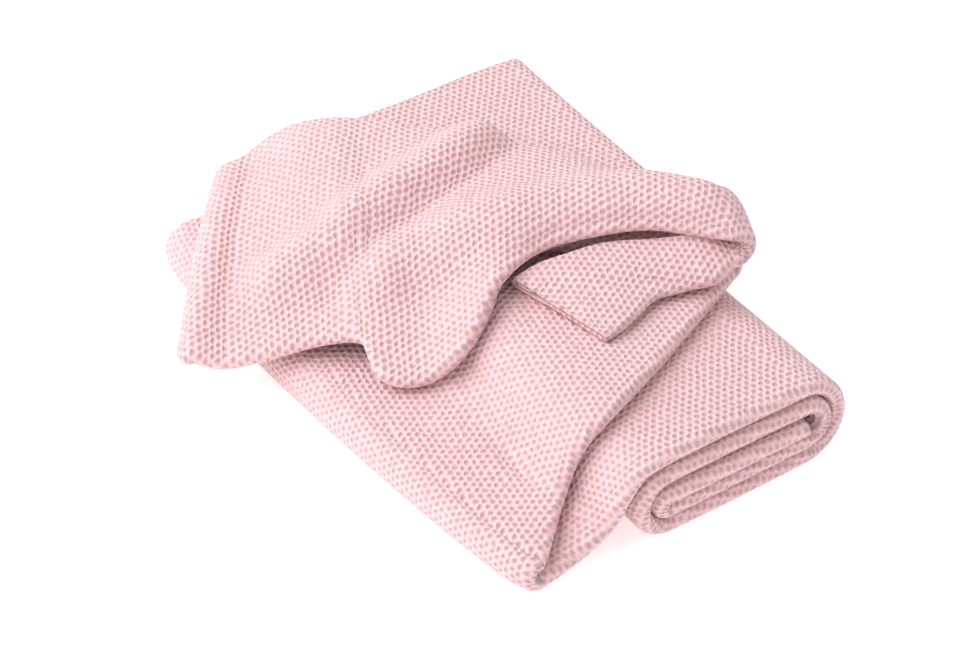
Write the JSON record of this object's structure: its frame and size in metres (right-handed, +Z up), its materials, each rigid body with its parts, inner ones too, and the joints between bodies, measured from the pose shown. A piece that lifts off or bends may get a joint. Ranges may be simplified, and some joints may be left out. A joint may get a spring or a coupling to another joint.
{
  "type": "folded swaddle blanket",
  "caption": "Knitted baby blanket folded in thirds, rolled flat and laid over itself, with a loose draped flap across the top.",
  "frame": {"origin": "centre of the bounding box in plan, on the surface that the folded blanket rests on", "axes": "+Y across the folded strip, from its rounded front fold to its open edges; +Z up; the strip runs back and forth along X, and the flat roll is on the +X side"},
  "size_m": [0.2352, 0.278, 0.0903],
  "materials": {
    "knit": "soft pale pink honeycomb cotton knit"
  },
  "bodies": {
    "root": {"blanket": "knit"}
  },
  "joints": []
}
